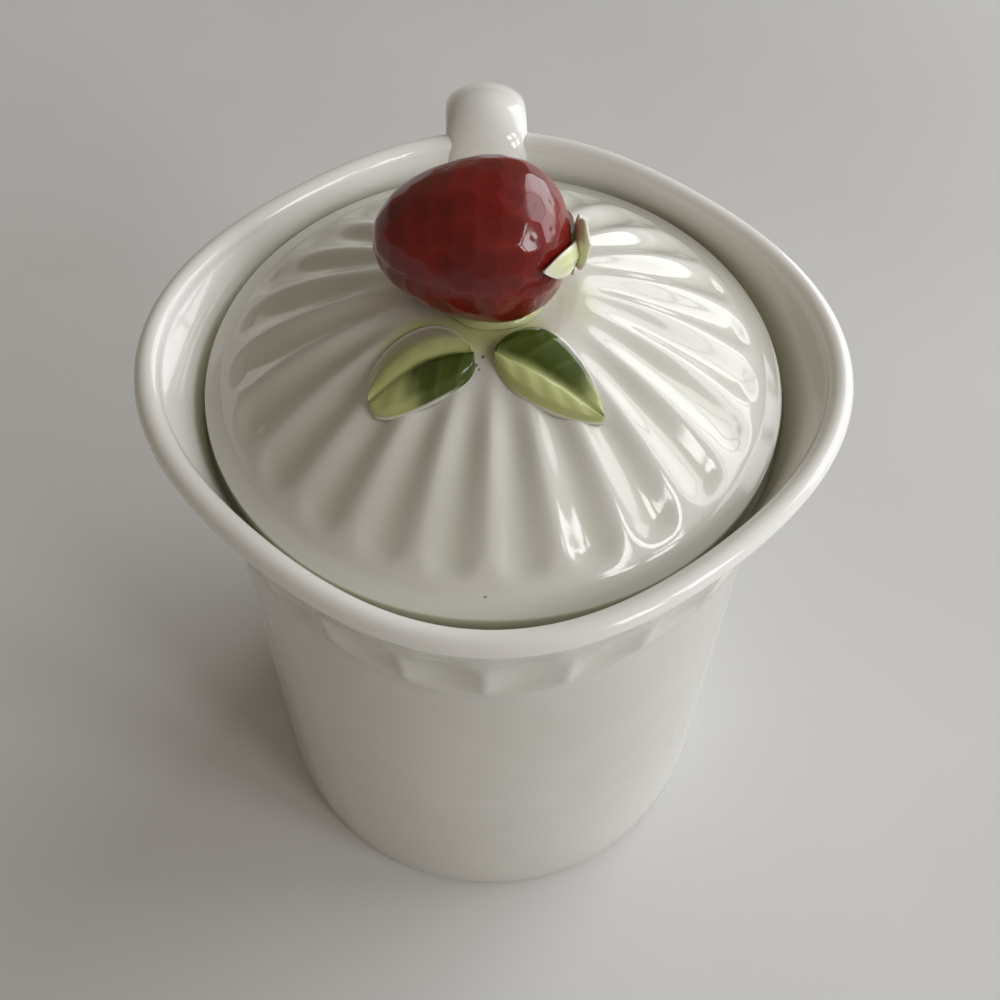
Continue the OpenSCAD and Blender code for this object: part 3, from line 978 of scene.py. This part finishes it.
def make_pad():
    """Uneven bed of slip, waisted between the lid and the berry."""
    low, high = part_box("knob_pad")
    reach = (high[0] - low[0]) / 2
    top = high[2] + PAD_SUNK

    def section(angle):
        swell = PAD_SWELL * math.sin(3 * angle + 0.6) + PAD_RIPPLE * math.sin(5 * angle)
        foot = reach + swell
        rows = [(0, low[2])] + line((0, low[2]), (foot, low[2]), 3)
        rows += arc(foot, (low[2] + top) / 2, PAD_WAIST, (top - low[2]) / 2, -90, -270, 14)[1:]
        rows += line((foot, top), (0, top), 3)
        return [(r, z, 0.0) for r, z in rows]

    pad = turned_skin("slip_pad", section, 96)
    point_values(pad, "wash", [0.8] * len(pad.data.vertices))
    pad.data.materials.append(lid_white)
    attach(pad, "lid")
    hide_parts("knob_pad")


# Calyx: five sepals laid over the shoulder, and the stub of the stalk

# Angle about the berry from +Y towards +Z, width, and the way of the midrib from the
# stalk to the tip, as [distance beyond the berry's end, distance from its axis]
SEPALS = (
    (159, 3.2 * MM, ((0.15, 1.2), (0.25, 4.5), (-1.2, 7.0), (-3.5, 8.2))),
    (140, 7.0 * MM, ((0.15, 1.2), (0.3, 3.3), (1.0, 4.5), (2.1, 4.4))),
    (60, 4.4 * MM, ((0.15, 1.2), (0.3, 2.2), (0.4, 2.9), (0.8, 3.4))),
    (-24, 4.4 * MM, ((0.15, 1.2), (0.3, 4.0), (-0.6, 6.2), (-1.8, 7.6))),
    (-98, 4.4 * MM, ((0.15, 1.2), (0.3, 2.6), (0.1, 3.5), (-0.1, 4.2))),
)
SEPAL_T = 0.9 * MM
SEPAL_RIDGE = 0.18 * MM
SEPAL_CUP = 0.35 * MM
SEPAL_TIP = 0.05 * MM
SEPAL_ROOT_R = 1.6 * MM
STALK_R = 1.3 * MM
STALK_L = 2.2 * MM
STALK_SUNK = 0.6 * MM


def make_sepal(index, turn, width, way):
    """A curved blade with a midrib ridge, cupped towards its tip."""
    rows = 26
    half = 8
    angle = math.radians(turn)
    count = 2 * half + 1
    spine = [Vector(p) * MM for p in way]
    top = []
    under = []
    edge = []
    for j in range(rows + 1):
        s = j / rows
        here = bezier(spine, s)
        ahead = (bezier(spine, min(s + 0.02, 1)) - bezier(spine, max(s - 0.02, 0))).normalized()
        spread = math.sin(math.pi * min(s * 0.64 + 0.16, 1)) ** 0.8 * (1 - s ** 6)
        spread = width / 2 * spread + SEPAL_TIP
        for i in range(count):
            t = i / half - 1
            around = angle + t * spread / max(here.y, SEPAL_ROOT_R)
            body = SEPAL_T * (1 - 0.5 * s) * (1 - 0.6 * t * t)
            ridge = SEPAL_RIDGE * math.exp(-(t / 0.16) ** 2) * (1 - s)
            cup = SEPAL_CUP * t * t * s
            for skin, off in ((top, body + ridge + cup), (under, cup)):
                x = here.x + ahead.y * off
                r = here.y - ahead.x * off
                skin.append((berry_x(1) + x, r * math.cos(around), BERRY_Z + r * math.sin(around)))
            edge.append(max(ease(abs(t), 0.5, 1), ease(s, 0.7, 1)) * 0.85)
    sepal = mesh_object("sepal_%d" % (index + 1), top + under, plate_faces(rows, count))
    point_values(sepal, "edge", edge + edge)
    sepal.data.materials.append(sepal_pale)
    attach(sepal, "lid")
    return sepal


def make_stalk():
    """Stub of the stalk, sunk in the berry's end."""
    steps = 10
    sides = 24
    points = []
    start = berry_x(1) - STALK_SUNK
    for i in range(steps + 1):
        s = i / steps
        r = STALK_R * (1 - 0.25 * s) * math.sqrt(max(1 - s ** 8, 0.001))
        for j in range(sides):
            b = TURN * j / sides
            points.append((start + STALK_L * s, r * math.cos(b), BERRY_Z + r * math.sin(b)))
    faces = [tuple(range(sides)), tuple(steps * sides + j for j in range(sides))]
    faces += ring_faces(steps, sides)
    stalk = mesh_object("stalk_stub", points, faces)
    point_values(stalk, "edge", [0.3] * len(stalk.data.vertices))
    stalk.data.materials.append(sepal_pale)
    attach(stalk, "lid")
    return stalk


def make_calyx():
    """Five sepals and the stalk, made in place of the calyx, which is hidden."""
    sepals = [make_sepal(i, *values) for i, values in enumerate(SEPALS)]
    stalk = make_stalk()
    for piece in sepals + [stalk]:
        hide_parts("calyx")


# Leaves


LEAF_T = 1.0 * MM
LEAF_CROWN = 0.42 * MM
LEAF_GROOVE = 0.30 * MM
LEAF_RIB = 0.05 * MM
LEAF_ROLL = 0.75 * MM
LEAF_LIP = 0.30 * MM
LEAF_THIN = 0.12 * MM
LEAF_SUNK = 0.5 * MM


def blade(s, root_power, tip_power):
    """Half width of a blade along its length, 1 at its widest."""
    peak = root_power / (root_power + tip_power)
    full = peak ** root_power * (1 - peak) ** tip_power
    return (s ** root_power) * ((1 - s) ** tip_power) / full


def make_leaf(name, node, root, tip, bow, left, right, dark_side, dark_end, raised, faded):
    """A blade from root to tip on the dome. left and right are its two sides seen
    towards the tip, each as [half width, root power, tip power]. bow bends the
    midrib. A side is 1 for the left half, -1 for the right and 0 for none: the half
    that is dark up to dark_end, the one with a raised edge and the one whose spray
    fades out."""
    rows = 64
    half = 22
    count = 2 * half + 1
    root = Vector(root)
    tip = Vector(tip)
    length = (tip - root).length
    way = (tip - root).normalized()
    across = Vector((-way.y, way.x))
    top, under, dark, bare, vein = [], [], [], [], []
    for j in range(rows + 1):
        s = between(0.002, 0.998, j / rows)
        rib = bow * math.sin(math.pi * s ** 0.8)
        far = left[0] * blade(s, left[1], left[2]) - rib
        near = right[0] * blade(s, right[1], right[2]) + rib
        for i in range(count):
            t = i / half - 1
            off = rib + t * (far if t > 0 else near)
            p = root + way * length * s + across * off
            r = p.length
            side = abs(t)
            wave = math.sin(TURN * (s * 4.6 - side * 0.9) + 0.8)
            plate = LEAF_T * (0.75 + 0.25 * math.sin(math.pi * min(s + 0.12, 1)))
            crown = LEAF_CROWN * math.sin(math.pi * side ** 0.8) * (1 - 0.5 * s)
            groove = LEAF_GROOVE * math.exp(-(t / 0.12) ** 2) * (1 - 0.7 * s)
            ribs = LEAF_RIB * wave * ease(side, 0.1, 0.35) * (1 - ease(side, 0.7, 0.95))
            roll = LEAF_ROLL * ease(side, 0.72, 1) ** 1.6
            lip = LEAF_LIP * math.exp(-((side - 0.94) / 0.06) ** 2) if t * raised > 0 else 0
            body = plate + crown - groove + ribs - roll + lip
            if t * faded > 0:
                body *= 1 - 0.85 * ease(side, 0.3, 1)
            top.append((p.x, p.y, land_z(r) + max(body, LEAF_THIN)))
            under.append((p.x, p.y, land_z(r) - LEAF_SUNK))
            spent = 0.85 * ease(s, dark_end - 0.4, dark_end)
            dark.append(ease(t * dark_side, -0.15, 0.22) * (1 - spent))
            vein.append(0.35 * math.exp(-(t / 0.06) ** 2) * (1 - s) + 0.06 * ease(wave, 0.6, 1))
            if t * faded > 0:
                drift = ease(side + 0.12 * math.sin(7 * s), 0.25, 0.8)
                bare.append(0.6 * drift + 0.4 * ease(side, 0.88, 1))
            else:
                worn = 0.86 if t * raised > 0 else 0.96
                bare.append(0.95 * ease(side, worn, worn + 0.05) * ease(s, 0.15, 0.4))
    leaf = mesh_object(name, top + under, plate_faces(rows, count))
    for label, values in (("dark", dark), ("bare", bare), ("vein", vein)):
        point_values(leaf, label, values + values)
    leaf.data.materials.append(leaf_green)
    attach(leaf, "lid")
    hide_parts(node)


def make_leaves():
    """The two leaves laid on the crown in front of the berry."""
    make_leaf("left_leaf", "leaf_left",
              root=(-2.2 * MM, -10.9 * MM), tip=(-14.4 * MM, -15.5 * MM), bow=-1.4 * MM,
              left=(3.4 * MM, 0.35, 0.35), right=(6.3 * MM, 0.35, 0.5),
              dark_side=1, dark_end=0.8, raised=0, faded=-1)
    make_leaf("right_leaf", "leaf_right",
              root=(0.2 * MM, -10.9 * MM), tip=(13.2 * MM, -16.9 * MM), bow=0.4 * MM,
              left=(6.3 * MM, 0.35, 0.8), right=(2.9 * MM, 0.6, 0.8),
              dark_side=1, dark_end=1.0, raised=1, faded=0)


# Room: floor, window light and camera


FLOOR_W = 6


def make_floor():
    """Plain floor that the foot stands on."""
    bpy.ops.mesh.primitive_plane_add(size=FLOOR_W, location=(0, 0, 0))
    floor = bpy.context.object
    floor.name = "floor"
    floor.data.materials.append(floor_paint())


def area_light(name, place, aim, width, height, watts, colour):
    """A rectangular lamp at a place, turned towards its aim."""
    data = bpy.data.lights.new(name, "AREA")
    data.shape = "RECTANGLE"
    data.size = width
    data.size_y = height
    data.energy = watts
    data.color = colour
    obj = bpy.data.objects.new(name, data)
    bpy.context.scene.collection.objects.link(obj)
    obj.location = place
    way = Vector(aim) - Vector(place)
    obj.rotation_euler = way.to_track_quat("-Z", "Y").to_euler()


# Windows: angle from +X towards +Y and above the floor, in degrees, distance, width,
# height and power of a pane
WINDOWS = (
    (30, 25, 1.90, 2.10, 1.45, 6.9),
    (-33, 34, 0.80, 0.34, 0.32, 0.50),
)
BAR = 0.06
AIM_Z = 0.06
DAYLIGHT = (0.97, 0.985, 1.0)
ROOM_DIM = (0.17, 0.145, 0.11, 1)
ROOM_FRONT = (0.32, 0.28, 0.235, 1)
ROOM_WINDOW_SIDE = (0.55, 0.56, 0.56, 1)
BACKDROP = (0.72, 0.72, 0.70, 1)


def make_window(turn, rise, away, width, height, watts):
    """Two by two panes with bars between them, upright and facing the pot."""
    turn = math.radians(turn)
    rise = math.radians(rise)
    out = Vector((math.cos(turn), math.sin(turn), 0))
    along = Vector((-out.y, out.x, 0))
    middle = out * away * math.cos(rise) + Vector((0, 0, AIM_Z + away * math.sin(rise)))
    pane_w = (width - BAR) / 2
    pane_h = (height - BAR) / 2
    for i in (-1, 1):
        for j in (-1, 1):
            place = middle + along * i * (pane_w + BAR) / 2 + Vector((0, 0, j * (pane_h + BAR) / 2))
            area_light("pane", place, place - out, pane_w, pane_h, watts, DAYLIGHT)


def direction_share(tree, way, lo, hi):
    """Share from 0 to 1 as the sky is seen more and more along a direction."""
    place = tree.nodes.new("ShaderNodeTexCoord")
    facing = tree.nodes.new("ShaderNodeVectorMath")
    facing.operation = "DOT_PRODUCT"
    tree.links.new(place.outputs["Generated"], facing.inputs[0])
    facing.inputs[1].default_value = Vector(way).normalized()
    return smooth_range(tree, facing.outputs["Value"], lo, hi)


def make_room():
    """Dim room: warm and dark above, paler before the pot and on the window side."""
    world = bpy.data.worlds.new("soft_room")
    bpy.context.scene.world = world
    world.use_nodes = True
    tree = world.node_tree
    sky = tree.nodes["Background"]
    front = direction_share(tree, (0.45, -0.85, 0.20), 0.3, 0.95)
    window_side = direction_share(tree, (0.85, 0.25, 0.40), 0.5, 0.95)
    room = mixed(tree, front, ROOM_DIM, ROOM_FRONT)
    room = mixed(tree, window_side, room, ROOM_WINDOW_SIDE)
    rays = tree.nodes.new("ShaderNodeLightPath")
    seen = mixed(tree, rays.outputs["Is Camera Ray"], room, BACKDROP)
    tree.links.new(seen, sky.inputs["Color"])
    sky.inputs["Strength"].default_value = 1.0


def make_lights():
    """Daylight from the windows, and what the rest of the room gives back."""
    for window in WINDOWS:
        make_window(*window)
    make_room()


# The photograph's view: place, and the way it looks in degrees below the horizon, to
# the left and rolled
CAMERA_PLACE = (1.85 * MM, -99.59 * MM, 213.85 * MM)
CAMERA_DOWN = 55.963
CAMERA_LEFT = -0.425
CAMERA_ROLL = 1.055
CAMERA_LENS = 41.4
CAMERA_SENSOR = 36


def make_camera():
    """The camera, turned as the angles above say."""
    data = bpy.data.cameras.new("camera")
    data.lens = CAMERA_LENS
    data.sensor_width = CAMERA_SENSOR
    camera = bpy.data.objects.new("camera", data)
    bpy.context.scene.collection.objects.link(camera)
    down = math.radians(CAMERA_DOWN)
    left = math.radians(CAMERA_LEFT)
    roll = math.radians(CAMERA_ROLL)
    level = math.cos(down)
    ahead = Vector((math.sin(left) * level, math.cos(left) * level, -math.sin(down)))
    right = Vector((math.cos(left), -math.sin(left), 0))
    up = right.cross(ahead)
    side = right * math.cos(roll) + up * math.sin(roll)
    top = up * math.cos(roll) - right * math.sin(roll)
    turn = Matrix((side, top, -ahead)).transposed()
    camera.matrix_world = Matrix.Translation(Vector(CAMERA_PLACE)) @ turn.to_4x4()
    bpy.context.scene.camera = camera


make_camera()
make_floor()
make_lights()
make_pot()
make_handle()
make_lid()
make_pad()
make_berry()
make_calyx()
make_leaves()
bpy.context.scene.view_settings.view_transform = "Standard"
